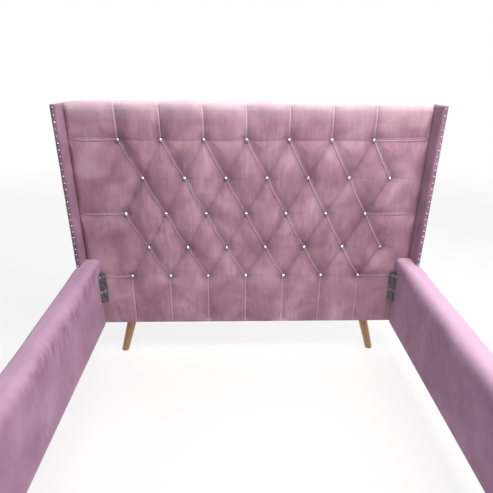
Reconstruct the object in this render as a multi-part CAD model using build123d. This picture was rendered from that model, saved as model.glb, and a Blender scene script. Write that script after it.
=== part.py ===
from build123d import *
import os
from functools import cache
from math import atan2, cos, hypot, pi, sin

# Upholstered bed with a winged, diamond-tufted headboard, side rails, a low footboard and four splayed legs.
# Millimetres. X runs across the bed, Y from its foot to its head, Z up from the floor.
# While a piece is modelled, Y is 0 at the fullest plane of the headboard's padding; save() centres the bed.

# Driving dimensions of the whole bed
clear_width = 1520.0        # between the side rails, at their foot
clear_length = 2010.0       # from the headboard's padding to the footboard
overall_height = 1348.0
ground_gap = 217.0          # under every upholstered board
rail_height = 380.0
rail_thickness = 80.0
rail_lean = 14.0            # how much fuller a rail's inner padding is at its top
rail_nip = 25.0             # how far a wing squeezes the rail's outer padding
wing_thickness = 25.0
wing_reach = 73.0           # in front of the headboard's padding
wing_drop = 4.0             # a wing's front corner is this far below the headboard's top
wing_fall = 10.0            # from there to the wing's top at the back
soft_gap = 0.3              # between a cushion and what it doesn't rest on
lining_thickness = 1.2
overrun = 5.0               # how far a cutting tool runs past the face that it cuts
roll_share = 0.45           # the largest edge roll, as a share of the wall that carries it
shank_sides = 8             # bolts, screws and their holes

# Headboard, from front to back
pad_depth = 34.0
panel_thickness = 6.0
frame_depth = 50.0
lip_thickness = 14.0        # padding over the frame's top
top_roll = 38.0             # radius of the padding's upper front edge
lower_roll = 14.0
back_roll = 10.0

# Diamond tufting
button_pitch = 193.5
tuft_columns = 7
tuft_rows = 5
column_offset = -15.4       # the tufting is this far off the bed's middle
first_row_drop = 167.0      # from the headboard's top
row_step = 177.0
last_row_step = 160.0
crease_depth = 16.0
crown_width = 80.0          # from a crease to the fullest part of a tuft
border_width = 25.0         # the same beside a wing
button_seat = 20.0          # behind the fullest plane
funnel_radius = 27.0
funnel_lip = 4.0            # behind the fullest plane
funnel_sides = 8

inner_x = clear_width / 2
rail_outer_x = inner_x + rail_thickness
wing_inner_x = rail_outer_x - rail_nip
wing_outer_x = wing_inner_x + wing_thickness
panel_y = pad_depth
frame_y = panel_y + panel_thickness
back_y = frame_y + frame_depth
frame_top = overall_height - lip_thickness
wing_top = overall_height - wing_drop
rail_top = ground_gap + rail_height
foot_y = -clear_length
foot_back_y = foot_y - rail_thickness
middle_y = (back_y + lining_thickness + foot_back_y) / 2


def block(low, high):
    """Rectangular block between two opposite corners."""
    size = [b - a for a, b in zip(low, high)]
    return Pos(*low) * Box(*size, align=(Align.MIN, Align.MIN, Align.MIN))


def rod(start, end, radius, sides=shank_sides):
    """Straight shank between the centres of its two ends."""
    path = Vector(*end) - Vector(*start)
    plane = Plane(origin=start, z_dir=path.normalized())
    return extrude(plane * RegularPolygon(radius, sides), amount=path.length)


def flat_outline(points, plane=Plane.XY):
    """Closed flat face with straight sides."""
    return plane * make_face(Polyline(*points, close=True))


def corner_turns(sides):
    """Cosine and sine of each corner of a regular outline."""
    return [(cos(2 * pi * corner / sides), sin(2 * pi * corner / sides)) for corner in range(sides)]


def facetted(rings):
    """Closed solid with flat sides and ends, through rings that have as many corners each."""
    faces = [Face(Wire.make_polygon(rings[0])), Face(Wire.make_polygon(rings[-1]))]
    for near, far in zip(rings, rings[1:]):
        for here in range(len(near)):
            after = (here + 1) % len(near)
            faces.append(Face(Wire.make_polygon([near[here], near[after], far[after], far[here]])))
    return Solid(Shell(faces))


def cut_stone(outline, sides):
    """Facetted solid round the Y axis: a radius at each distance towards the foot."""
    return facetted([[(radius * c, -distance, radius * s) for c, s in corner_turns(sides)]
                     for distance, radius in outline])


def group(pieces):
    """Separate identical pieces kept together as one node."""
    return Compound(children=list(pieces))


def other_side(shape):
    """The same piece on the bed's other side."""
    return mirror(shape, Plane.YZ)


def both_sides(pieces):
    return pieces + [other_side(piece) for piece in pieces]


def boxes_meet(first, second):
    one, other = first.bounding_box(), second.bounding_box()
    lows = (max(one.min.X, other.min.X), max(one.min.Y, other.min.Y), max(one.min.Z, other.min.Z))
    highs = (min(one.max.X, other.max.X), min(one.max.Y, other.max.Y), min(one.max.Z, other.max.Z))
    return all(low < high for low, high in zip(lows, highs))


def carve(body, tools):
    """Cuts every tool that reaches the body out of it."""
    reaching = [tool for tool in tools if boxes_meet(body, tool)]
    return body.cut(*reaching) if reaching else body


def rolled(radius, wall):
    """Radius of a padded edge, within what its wall allows."""
    return min(radius, wall * roll_share)


def save(name, shape):
    shape = Pos(0, -middle_y, 0) * shape
    export_step(shape, "parts/" + name + ".step")


def save_pair(name, right_piece):
    save(name + "_right", right_piece)
    save(name + "_left", other_side(right_piece))


def row_height(row):
    """Height of a row of buttons: even steps, with a shorter one to the lowest row."""
    even_rows = min(row, tuft_rows - 2)
    drop = first_row_drop + even_rows * row_step + (row - even_rows) * last_row_step
    return overall_height - drop


def button(row, column):
    """Centre of a button, as X and Z: every other row is half a pitch to the right."""
    places = column - (tuft_columns - 1) / 2 + (row % 2) / 2
    return (column_offset + places * button_pitch, row_height(row))


def all_buttons():
    return [button(row, column) for row in range(tuft_rows) for column in range(tuft_columns)]


def crease_roll(start, end, width, reach):
    """Solid under the rounded edge that a tuft has along one crease.

    Its section is an arc that leaves the crease's floor and is tangent to the fullest plane at the width.
    """
    along = Vector(end[0] - start[0], 0, end[1] - start[1]).normalized()
    inward = Vector(-along.Z, 0, along.X)
    plane = Plane(origin=(start[0], 0, start[1]), x_dir=inward, z_dir=along)
    radius = (width ** 2 + crease_depth ** 2) / (2 * crease_depth)
    half_turn = atan2(width, radius - crease_depth) / 2
    middle = (width - radius * sin(half_turn), radius * cos(half_turn) - radius)
    arc = ThreePointArc((0, -crease_depth), middle, (width, 0))
    rest = Polyline((width, 0), (reach, 0), (reach, -pad_depth), (0, -pad_depth), (0, -crease_depth))
    return extrude(plane * make_face([arc, rest]), amount=reach, both=True)


def padding_profile():
    """The padding's side outline, rounded at its upper, lower and back edges, across the bed."""
    outline = Plane.YZ * Pos(0, ground_gap) * Rectangle(
        back_y, overall_height - ground_gap, align=(Align.MIN, Align.MIN))
    outline = fillet(outline.vertices().group_by(Axis.Z)[-1].sort_by(Axis.Y)[0], rolled(top_roll, back_y))
    outline = fillet(outline.vertices().group_by(Axis.Z)[-1].sort_by(Axis.Y)[-1], rolled(back_roll, back_y))
    outline = fillet(outline.vertices().group_by(Axis.Z)[0].sort_by(Axis.Y)[0], rolled(lower_roll, pad_depth))
    return extrude(outline, amount=wing_inner_x, both=True)


def tuft(points, widths, profile):
    """One tuft of the padding: a flat outline whose creased sides roll forward to the fullest plane."""
    reach = 2 * (wing_inner_x + overall_height)
    body = extrude(flat_outline(points, Plane.XZ), amount=-pad_depth)
    for index, width in enumerate(widths):
        if width:
            end = points[(index + 1) % len(points)]
            body = body & crease_roll(points[index], end, width, reach)
    if None in widths:
        body = body & profile
    return body


def tuft_outlines():
    """Corners of every tuft, anticlockwise seen from the foot, with the roll's width along each side.

    A side with no crease of its own has no width.
    """
    side = wing_inner_x - soft_gap
    last = tuft_columns - 1
    low_row = tuft_rows - 1
    crown, border = crown_width, border_width
    top, bottom = overall_height, ground_gap
    cells = []
    for i in range(last):
        x0, x1 = button(0, i)[0], button(0, i + 1)[0]
        cells.append(([button(1, i), button(0, i + 1), (x1, top), (x0, top), button(0, i)],
                      [crown, crown, None, crown, crown]))
        x0, x1 = button(low_row, i)[0], button(low_row, i + 1)[0]
        cells.append(([(x0, bottom), (x1, bottom), button(low_row, i + 1), button(low_row - 1, i),
                       button(low_row, i)], [None, crown, crown, crown, crown]))
    for row in range(1, tuft_rows - 1):
        shift = row % 2
        for i in range(last):
            cells.append(([button(row + 1, i + shift), button(row, i + 1), button(row - 1, i + shift),
                           button(row, i)], [crown] * 4))
    for row in range(0, tuft_rows - 2, 2):
        high, mid, low = row_height(row), row_height(row + 1), row_height(row + 2)
        cells.append(([(-side, low), button(row + 2, 0), button(row + 1, 0), button(row, 0), (-side, high)],
                      [crown, crown, crown, crown, border]))
        cells.append(([button(row, last), button(row + 1, last), (side, mid), (side, high)],
                      [crown, None, border, crown]))
        cells.append(([button(row + 2, last), (side, low), (side, mid), button(row + 1, last)],
                      [crown, border, None, crown]))
    for row, level in ((0, top), (low_row, bottom)):
        left, right = button(row, 0), button(row, last)
        if level == top:
            cells.append(([(-side, left[1]), left, (left[0], top), (-side, top)],
                          [crown, crown, None, border]))
            cells.append(([right, (side, right[1]), (side, top), (right[0], top)],
                          [crown, border, None, crown]))
        else:
            cells.append(([(-side, bottom), (left[0], bottom), left, (-side, left[1])],
                          [None, crown, crown, border]))
            cells.append(([(right[0], bottom), (side, bottom), (side, right[1]), right],
                          [None, border, crown, crown]))
    return cells


# Crystal buttons, each in a shallow metal cup held by a bent prong
crystal_facets = 6
crystal_radius = 8.0
crystal_table_radius = 4.6
crystal_girdle = 1.2
crystal_crown = 3.6
cup_radius = 9.0
cup_depth = 3.0
prong_width = 3.0
prong_thickness = 0.8
prong_tail = 11.0
prong_slack = 0.2


def tuft_crystal():
    """Crystal that points towards the foot, its back at the origin."""
    outline = [(0, crystal_radius), (crystal_girdle, crystal_radius),
               (crystal_girdle + crystal_crown, crystal_table_radius)]
    return cut_stone(outline, crystal_facets)


def funnel():
    """Hollow round a button, from its seat forward, as wide as the funnel's radius at the lip."""
    seat_radius = cup_radius + soft_gap
    slope = (funnel_radius - seat_radius) / (button_seat - funnel_lip)
    mouth_radius = seat_radius + slope * (button_seat + overrun)
    return cut_stone([(-button_seat, seat_radius), (overrun, mouth_radius)], funnel_sides)


def button_cup():
    """Cup behind a crystal, its back at the origin, with the prong bent over behind the panel."""
    cup = extrude(Plane.XZ * RegularPolygon(cup_radius, crystal_facets), amount=cup_depth)
    length = frame_y - button_seat
    half = prong_width / 2
    stem = block((-half, 0, -prong_thickness / 2), (half, length, prong_thickness / 2))
    tail = block((-half, length, -prong_thickness / 2),
                 (half, length + prong_thickness, prong_tail))
    return cup + stem + tail


def prong_slot():
    """Slit that a prong passes, from the button's seat to behind the panel."""
    half = prong_width / 2 + prong_slack
    thin = prong_thickness / 2 + prong_slack
    return block((-half, button_seat - overrun, -thin), (half, frame_y + overrun, thin))


def tufted_pad():
    """Padding of the headboard: tufts, the roll over the frame's top, and a funnel at each button."""
    profile = padding_profile()
    tufts = [tuft(points, widths, profile) for points, widths in tuft_outlines()]
    side = wing_inner_x - soft_gap
    lip = block((-side, pad_depth, frame_top), (side, back_y, overall_height)) & profile
    body = tufts[0].fuse(*tufts[1:], lip)
    cutters = [Pos(x, 0, z) * piece for x, z in all_buttons() for piece in (funnel(), prong_slot())]
    return carve(body, cutters + bolt_clearances())


# Headboard timber
stile_width = 110.0
cross_rail_height = 70.0
upright_width = 45.0
upright_x = 338.0


def stile():
    """Right upright of the frame, full height, behind the panel."""
    body = block((wing_inner_x - stile_width, frame_y, ground_gap), (wing_inner_x, back_y, frame_top))
    return carve(body, bolt_clearances() + wing_screw_holes() + leg_bores())


def cross_rail(low):
    half = wing_inner_x - stile_width
    body = block((-half, frame_y, low), (half, back_y, low + cross_rail_height))
    return carve(body, leg_bores())


def middle_rail_low():
    """The middle rail lies between the third and fourth rows of buttons."""
    return (row_height(2) + row_height(3) - cross_rail_height) / 2


def uprights():
    """Four short uprights between the cross rails."""
    levels = [(ground_gap + cross_rail_height, middle_rail_low()),
              (middle_rail_low() + cross_rail_height, frame_top - cross_rail_height)]
    half = upright_width / 2
    return group(block((x - half, frame_y, low), (x + half, back_y, high))
                 for x in (-upright_x, upright_x) for low, high in levels)


def face_panel():
    """Thin panel that carries the padding, slit for every prong."""
    body = block((-wing_inner_x, panel_y, ground_gap), (wing_inner_x, frame_y, frame_top))
    slots = [Pos(x, 0, z) * prong_slot() for x, z in all_buttons()]
    return carve(body, slots + bolt_clearances())


def back_lining():
    """Cloth that closes the headboard's back, from wing to wing."""
    side = wing_outer_x - lining_inset
    return block((-side, back_y, ground_gap + lining_inset),
                 (side, back_y + lining_thickness, frame_top - lining_inset))


# Wings
lining_inset = 4.0
wing_cover = 3.5            # cloth and wadding on each face of the board
wing_edge_roll = 9.0
wing_screw_radius = 2.5
wing_screw_head_radius = 5.0
wing_screw_head = 3.0
wing_screw_bite = 35.0      # how deep a screw goes into the stile
wing_screw_shares = (0.12, 0.5, 0.88)
stud_pitch = 29.4
stud_end_gap = 13.0
stud_facets = 6
stud_radius = 5.2
stud_table_radius = 2.6
stud_height = 4.2


def wing_slab(inset, back):
    """Upright slab with a wing's side outline, its top falling to the back, drawn in by an inset elsewhere."""
    front, low = inset - wing_reach, ground_gap + inset
    slope = wing_fall / (back_y + wing_reach)
    corners = [(front, low), (back, low)]
    corners += [(y, wing_top - inset - slope * (y + wing_reach)) for y in (back, front)]
    outline = flat_outline(corners, Plane.YZ.offset(wing_inner_x + inset))
    return extrude(outline, amount=wing_thickness - 2 * inset)


def wing_board():
    """Right wing's board, inside its cover."""
    return carve(wing_slab(wing_cover, back_y), wing_screw_holes())


def wing_cover_shell():
    """Padded cover round the board: closed at the front, top and bottom, open at the back."""
    body = wing_slab(0, back_y)
    front = body.faces().sort_by(Axis.Y)[0].edges()
    body = fillet(front, rolled(wing_edge_roll, wing_thickness))
    return carve(body.cut(wing_slab(wing_cover, back_y + overrun)), wing_screw_holes())


def wing_screw_levels():
    return [ground_gap + share * (wing_top - ground_gap) for share in wing_screw_shares]


def wing_screw(z, slack=0.0):
    """Screw from the board's outer face, through the cover, into the stile."""
    y = (frame_y + back_y) / 2
    head_x = wing_outer_x - wing_cover
    shank = rod((head_x, y, z), (wing_inner_x - wing_screw_bite - slack, y, z), wing_screw_radius + slack)
    head = rod((head_x, y, z), (head_x - wing_screw_head - slack, y, z), wing_screw_head_radius + slack)
    return shank + head


def wing_screw_holes():
    return [wing_screw(z, fastener_slack) for z in wing_screw_levels()]


def wing_studs():
    """Row of faceted crystal studs along the right wing's front edge."""
    room = wing_top - ground_gap - 2 * stud_end_gap
    count = int(room / stud_pitch)
    x = (wing_inner_x + wing_outer_x) / 2
    stud = cut_stone([(0, stud_radius), (stud_height, stud_table_radius)], stud_facets)
    heights = [wing_top - stud_end_gap - index * stud_pitch for index in range(count + 1)]
    return group(Pos(x, -wing_reach, z) * stud for z in heights)


# Side rails and footboard share one section
inner_foam = 9.0
outer_foam = 27.0
top_foam = 22.0
inner_top_roll = 36.0
outer_top_roll = 18.0
skin_thickness = 6.0
batten_height = 42.0
end_block_width = 110.0
strut_width = 45.0
strut_shares = (0.25, 0.5, 0.75)
nip_taper = 32.0


def rail_outline():
    """Section of a rail: X from its inner foot outwards, Z from its underside."""
    corners = [(0, 0), (rail_thickness, 0), (rail_thickness, rail_height), (-rail_lean, rail_height)]
    face = flat_outline(corners)
    high = face.vertices().group_by(Axis.Y)[-1].sort_by(Axis.X)
    face = fillet(high[0], rolled(inner_top_roll, rail_thickness))
    high = face.vertices().group_by(Axis.Y)[-1].sort_by(Axis.X)
    return fillet(high[-1], rolled(outer_top_roll, rail_thickness))


def core_sides():
    """Inner and outer limits of the timber core in the section."""
    return inner_foam, rail_thickness - outer_foam


def core_height():
    return rail_height - top_foam


def section_bar(face, length):
    """Bar with the rail's section, its inner side facing -X, running along Y from 0 to minus the length."""
    plane = Plane(origin=(0, 0, 0), x_dir=(1, 0, 0), z_dir=(0, -1, 0))
    return extrude(plane * face, amount=length)


def core_battens(length, inset):
    """Top and bottom battens, end blocks and struts between the two skins."""
    near, far = core_sides()
    near, far, height = near + skin_thickness, far - skin_thickness, core_height()
    start, end = -inset, inset - length
    inner_start, inner_end = start - end_block_width, end + end_block_width
    low = lining_thickness
    spans = [(inner_start, start, low, height), (end, inner_end, low, height),
             (inner_end, inner_start, low, low + batten_height),
             (inner_end, inner_start, height - batten_height, height)]
    for share in strut_shares:
        y = inner_start + share * (inner_end - inner_start)
        spans.append((y - strut_width / 2, y + strut_width / 2, low + batten_height, height - batten_height))
    return [block((near, y0, z0), (far, y1, z1)) for y0, y1, z0, z1 in spans]


def core_skins(length, inset):
    near, far = core_sides()
    edges = [(near, near + skin_thickness), (far - skin_thickness, far)]
    return [block((x0, inset - length, lining_thickness), (x1, -inset, core_height())) for x0, x1 in edges]


def core_lining(length, inset):
    near, far = core_sides()
    return block((near, inset - length, 0), (far, -inset, lining_thickness))


def core_pocket(length, inset):
    """Hollow for the core, open below. An inset below zero opens it at both ends too."""
    near, far = core_sides()
    return block((near, inset - length, -overrun), (far, -inset, core_height()))


def rail_place():
    """Where the right rail's section bar goes: its inner foot, clear of the headboard's padding."""
    return Pos(inner_x, -soft_gap, ground_gap)


def rail_run():
    return clear_length - 2 * soft_gap


def nip_cutter():
    """What the wing takes off the right rail's outer padding, with a taper in front of wing and studs."""
    squeezed = wing_inner_x - soft_gap
    edge = -wing_reach - stud_height - soft_gap
    points = [(rail_outer_x, edge - nip_taper), (rail_outer_x + overrun, edge - nip_taper),
              (rail_outer_x + overrun, overrun), (squeezed, overrun), (squeezed, edge)]
    outline = flat_outline(points, Plane.XY.offset(ground_gap - overrun))
    return extrude(outline, amount=rail_height + 2 * overrun)


def rail_pad():
    """Right rail's padded cover: fuller at the inner top, open below, nipped between wing and core."""
    bar = rail_place() * section_bar(rail_outline(), rail_run())
    pocket = rail_place() * core_pocket(rail_run(), -overrun)
    return carve(bar.cut(pocket, nip_cutter()), leaf_recesses() + bolt_clearances())


def rail_seats():
    """Flat seats that the ends of the two rails press into the footboard's leaning padding."""
    near = inner_x - rail_lean - soft_gap
    seat = block((near, foot_y, ground_gap - overrun),
                 (rail_outer_x + overrun, foot_y + rail_lean + overrun, rail_top + overrun))
    return both_sides([seat])


def foot_turn(shape):
    """Places a section bar as the footboard: its X, outwards, becomes -Y, and its run goes across."""
    turned = Rot(0, 0, -90) * shape
    return Pos(rail_outer_x, foot_y, ground_gap) * turned


def foot_pad():
    width = 2 * rail_outer_x
    bar = foot_turn(section_bar(rail_outline(), width))
    pocket = foot_turn(core_pocket(width, outer_foam))
    return carve(bar.cut(pocket, *rail_seats()), leaf_recesses() + bolt_clearances())


# Corner brackets and their bolts
bracket_bottom = 141.0      # above the rails' underside
bracket_height = 157.0
bracket_thickness = 3.0
bracket_bend = 2.0
rail_leaf = 34.0
board_leaf = 30.0
leaf_clearance = 1.0
bolt_radius = 4.0
bolt_head_radius = 8.0
bolt_head = 5.0
bolt_head_sides = 6
bolt_fit = 0.05             # between a bolt and its nut
nut_radius = 7.5
nut_length = 10.0
fastener_slack = 0.25
hole_line_share = 0.55      # the line of holes, across a leaf
hole_shares = (0.1, 0.36, 0.64, 0.9)
bolted_shares = (0.36, 0.9)


def leaf_seat():
    """How far the leaning padding stands in front of the rail's foot at a bracket's lower end."""
    return rail_lean * bracket_bottom / rail_height


def bracket_low():
    return ground_gap + bracket_bottom


def corner(end):
    """Corner of a bracket, as X, Y and the direction in which its rail leaf runs."""
    x = inner_x - leaf_seat()
    return (x, 0.0, -1) if end == "head" else (x, foot_y + leaf_seat(), 1)


def bracket(end):
    """Right angle bracket: one leaf on the rail, one on the headboard or footboard, four holes in each."""
    x, y, way = corner(end)
    outline = [(x, y), (x - board_leaf, y), (x - board_leaf, y + way * bracket_thickness),
               (x - bracket_thickness, y + way * bracket_thickness),
               (x - bracket_thickness, y + way * rail_leaf), (x, y + way * rail_leaf)]
    face = flat_outline(outline, Plane.XY.offset(bracket_low()))
    bend = face.vertices().sort_by_distance((x, y, bracket_low()))[0]
    body = extrude(fillet(bend, bracket_bend + bracket_thickness), amount=bracket_height, dir=(0, 0, 1))
    levels = [bracket_low() + share * bracket_height for share in hole_shares]
    axes = [axis for z in levels for axis in leaf_axes(end, z)]
    through = bracket_thickness + overrun
    return carve(body, [rod(start - way_in * overrun, start + way_in * through, bolt_radius + fastener_slack)
                        for start, way_in in axes])


def leaf_axes(end, z):
    """Centre on each leaf's open face and the direction into the timber, at one height."""
    x, y, way = corner(end)
    rail_side = Vector(x - bracket_thickness, y + way * rail_leaf * hole_line_share, z)
    board_side = Vector(x - board_leaf * hole_line_share, y + way * bracket_thickness, z)
    return [(rail_side, Vector(1, 0, 0)), (board_side, Vector(0, -way, 0))]


def core_far():
    """Depth of the battens' outer face behind the rail's inner foot."""
    return rail_thickness - outer_foam - skin_thickness


def bolt_axes():
    """Head, nut end and direction of every bolt on the right side."""
    axes = []
    for end in ("head", "foot"):
        for share in bolted_shares:
            z = bracket_low() + share * bracket_height
            rail_axis, board_axis = leaf_axes(end, z)
            core_grip = core_far() + leaf_seat() + bracket_thickness
            board_grip = back_y + bracket_thickness if end == "head" else core_grip
            axes.append((*rail_axis, core_grip))
            axes.append((*board_axis, board_grip))
    return axes


def bolt(start, direction, grip):
    """Hexagon bolt: its head on the bracket, its end flush with the nut."""
    shank = rod(start, start + direction * grip, bolt_radius)
    return shank + rod(start, start - direction * bolt_head, bolt_head_radius, bolt_head_sides)


def nut(start, direction, grip):
    """Hexagon nut let into the timber's far face."""
    far = start + direction * grip
    body = rod(far - direction * nut_length, far, nut_radius, bolt_head_sides)
    bore = rod(far - direction * (nut_length + overrun), far + direction * overrun, bolt_radius + bolt_fit)
    return body.cut(bore)


@cache
def bolt_clearances():
    """What each bolt and its nut need clear, on both sides of the bed."""
    tools = []
    for start, direction, grip in bolt_axes():
        far = start + direction * grip
        shank = rod(start - direction * overrun, far, bolt_radius + fastener_slack)
        tools.append(shank + rod(far - direction * nut_length, far, nut_radius, bolt_head_sides))
    return both_sides(tools)


@cache
def leaf_recesses():
    """Hollow that each bracket's leaf presses into the leaning padding."""
    tools = []
    low = bracket_low() - leaf_clearance
    high = bracket_low() + bracket_height + leaf_clearance
    for end in ("head", "foot"):
        x, y, way = corner(end)
        far_x = x - rail_lean - overrun
        along = sorted((y - way * overrun, y + way * (rail_leaf + leaf_clearance)))
        tools.append(block((far_x, along[0], low), (x, along[1], high)))
        if end == "foot":
            tools.append(block((x - board_leaf - leaf_clearance, y, low),
                               (x, y + rail_lean + overrun, high)))
    return both_sides(tools)


# Legs
leg_top_x = 630.0
leg_foot_x = 692.0
leg_top_radius = 24.0
leg_foot_radius = 18.5
leg_sides = 20
sole_edge = 4.0
plate_length = 90.0
plate_width = 44.0
plate_thickness = 3.0
plate_corner = 8.0
leg_bolt_radius = 4.0
leg_bolt_bite = 45.0
leg_bolt_rise = 18.0


def leg_ys():
    """Middle of the timber over the head's legs and over the foot's legs."""
    return (frame_y + back_y) / 2, foot_y - sum(core_sides()) / 2


def leg_axis():
    """Direction of the right leg's centre line, down and outwards."""
    return Vector(leg_foot_x - leg_top_x, 0, plate_thickness - ground_gap).normalized()


def leg_point(y, distance):
    """Point on the right leg's centre line, measured down from its top."""
    return Vector(leg_top_x, y, ground_gap - plate_thickness) + leg_axis() * distance


def leg_ring(y, level, radius):
    """Level section of the right leg: its round section, stretched across by the splay."""
    height = ground_gap - plate_thickness
    spread = leg_foot_x - leg_top_x
    x = leg_foot_x - spread * level / height
    stretch = hypot(spread, height) / height
    return [(x + radius * stretch * c, y + radius * s, level) for c, s in corner_turns(leg_sides)]


def leg(y):
    """Tapered turned leg, splayed outwards, level at its top and at its edged sole."""
    body = facetted([leg_ring(y, 0, leg_foot_radius - sole_edge), leg_ring(y, sole_edge, leg_foot_radius),
                     leg_ring(y, ground_gap - plate_thickness, leg_top_radius)])
    return body.cut(leg_bolt(y, fastener_slack))


def leg_bolt(y, slack=0.0):
    """Hanger bolt on the leg's centre line, up through the plate into the timber."""
    return rod(leg_point(y, leg_bolt_bite + slack), leg_point(y, -leg_bolt_rise - slack),
               leg_bolt_radius + slack)


@cache
def leg_bores():
    return both_sides([leg_bolt(y, fastener_slack) for y in leg_ys()])


def leg_plate(y):
    """Steel plate between the right leg and the timber."""
    half_x, half_y = plate_length / 2, plate_width / 2
    body = block((leg_top_x - half_x, y - half_y, ground_gap - plate_thickness),
                 (leg_top_x + half_x, y + half_y, ground_gap))
    body = chamfer(body.edges().filter_by(Axis.Z), rolled(plate_corner, plate_width))
    return carve(body, leg_bores())


def build_headboard():
    save("headboard_tufted_pad", tufted_pad())
    save("headboard_face_panel", face_panel())
    save_pair("headboard_stile", stile())
    save("headboard_bottom_rail", cross_rail(ground_gap))
    save("headboard_middle_rail", cross_rail(middle_rail_low()))
    save("headboard_top_rail", cross_rail(frame_top - cross_rail_height))
    save("headboard_uprights", uprights())
    save("headboard_back_lining", back_lining())
    gem, cup = tuft_crystal(), button_cup()
    save("tuft_crystals", group(Pos(x, button_seat - cup_depth, z) * gem for x, z in all_buttons()))
    save("tuft_cups", group(Pos(x, button_seat, z) * cup for x, z in all_buttons()))


def build_wings():
    save_pair("wing_board", wing_board())
    save_pair("wing_cover", wing_cover_shell())
    save_pair("wing_studs", wing_studs())
    save("wing_screws", group(both_sides([wing_screw(z) for z in wing_screw_levels()])))


def build_rails():
    place, run = rail_place(), rail_run()
    battens = [carve(place * piece, bolt_clearances()) for piece in core_battens(run, 0)]
    skins = [carve(place * piece, bolt_clearances()) for piece in core_skins(run, 0)]
    save_pair("rail_pad", rail_pad())
    save_pair("rail_battens", group(battens))
    save_pair("rail_skins", group(skins))
    save_pair("rail_lining", place * core_lining(run, 0))


def build_footboard():
    width = 2 * rail_outer_x
    tools = bolt_clearances() + leg_bores()
    battens = [carve(foot_turn(piece), tools) for piece in core_battens(width, outer_foam)]
    skins = [carve(foot_turn(piece), tools) for piece in core_skins(width, outer_foam)]
    save("footboard_pad", foot_pad())
    save("footboard_battens", group(battens))
    save("footboard_skins", group(skins))
    save("footboard_lining", carve(foot_turn(core_lining(width, outer_foam)), tools))


def build_legs():
    for end, y in zip(("head", "foot"), leg_ys()):
        save_pair("leg_" + end, leg(y))
        save_pair("leg_plate_" + end, leg_plate(y))
    save("leg_bolts", group(both_sides([leg_bolt(y) for y in leg_ys()])))


def build_brackets():
    for end in ("head", "foot"):
        save_pair("corner_bracket_" + end, bracket(end))
    save("bracket_bolts", group(both_sides([bolt(*axis) for axis in bolt_axes()])))
    save("bracket_nuts", group(both_sides([nut(*axis) for axis in bolt_axes()])))


os.makedirs("parts", exist_ok=True)
build_headboard()
build_wings()
build_rails()
build_footboard()
build_legs()
build_brackets()
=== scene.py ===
import math

import bmesh
import bpy
import numpy as np
from mathutils import Matrix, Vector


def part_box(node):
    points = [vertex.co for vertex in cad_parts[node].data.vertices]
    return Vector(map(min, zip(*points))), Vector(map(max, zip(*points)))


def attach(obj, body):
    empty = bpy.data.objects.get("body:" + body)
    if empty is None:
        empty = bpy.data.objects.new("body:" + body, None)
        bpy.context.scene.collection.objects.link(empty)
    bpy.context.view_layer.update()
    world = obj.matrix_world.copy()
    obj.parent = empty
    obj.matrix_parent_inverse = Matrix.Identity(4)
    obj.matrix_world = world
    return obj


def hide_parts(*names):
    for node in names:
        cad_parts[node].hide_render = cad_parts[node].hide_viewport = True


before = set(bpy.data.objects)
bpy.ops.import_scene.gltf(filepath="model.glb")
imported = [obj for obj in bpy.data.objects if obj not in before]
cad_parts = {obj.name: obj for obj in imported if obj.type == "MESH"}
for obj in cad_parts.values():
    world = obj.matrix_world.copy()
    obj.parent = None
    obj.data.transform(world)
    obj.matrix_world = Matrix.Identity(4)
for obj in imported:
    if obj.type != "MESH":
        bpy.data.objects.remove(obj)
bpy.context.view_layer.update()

# Upholstered bed with a winged, diamond-tufted headboard in mauve velvet.
# Shapes are worked out in millimetres, in the frame of the CAD model, and become metres in add_mesh().

MM = 0.001


def corners(node):
    """Lowest and highest corner of a CAD node, in millimetres."""
    low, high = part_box(node)
    return np.array(low) / MM, np.array(high) / MM


pad_low, pad_high = corners("headboard_tufted_pad")
wing_low, wing_high = corners("wing_cover_right")
rail_low, rail_high = corners("rail_pad_right")
foot_low, foot_high = corners("footboard_pad")
lining_low, lining_high = corners("headboard_back_lining")

# Sizes of the padding that the nodes' boxes don't give
pad_depth = 34.0
panel_and_frame = 56.0
lip_thickness = 14.0
top_roll = 38.0
lower_roll = 14.0
back_roll = 10.0
wing_edge_roll = 9.0
wing_end_roll = 6.0
rail_lean = 14.0
rail_thickness = 80.0
inner_top_roll = 44.0
outer_top_roll = 20.0
end_top_roll = 22.0
nip_taper = 32.0
wing_fall = 10.0
seam_gap = 0.3
top_fall = 4.0
upright_places = (315.5, 360.5)
SIDES = ((1, "right"), (-1, "left"))

# Swelling of the boards' covers in the cloth simulation
slack = 2.0
swell_cap = 6.0
swell_pressure = 0.05
swell_frames = 20

# Tufting
button_pitch = 193.5
tuft_columns = 7
tuft_rows = 5
column_offset = -15.4
first_row_drop = 167.0
row_step = 177.0
last_row_step = 160.0
crown_width = 80.0
border_width = 25.0
button_seat = 20.0
cup_depth = 3.0
stud_pitch = 29.4
stud_end_gap = 13.0

crown_y = pad_low[1]
ground = pad_low[2]
top = pad_high[2]


def button(row, column):
    """Centre of a button, as X and height: every other row is half a pitch to the right."""
    even = min(row, tuft_rows - 2)
    places = column - (tuft_columns - 1) / 2 + (row % 2) / 2
    return (column_offset + places * button_pitch,
            top - first_row_drop - even * row_step - (row - even) * last_row_step)


BUTTONS = [button(row, column) for row in range(tuft_rows) for column in range(tuft_columns)]


# Mesh helpers

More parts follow.
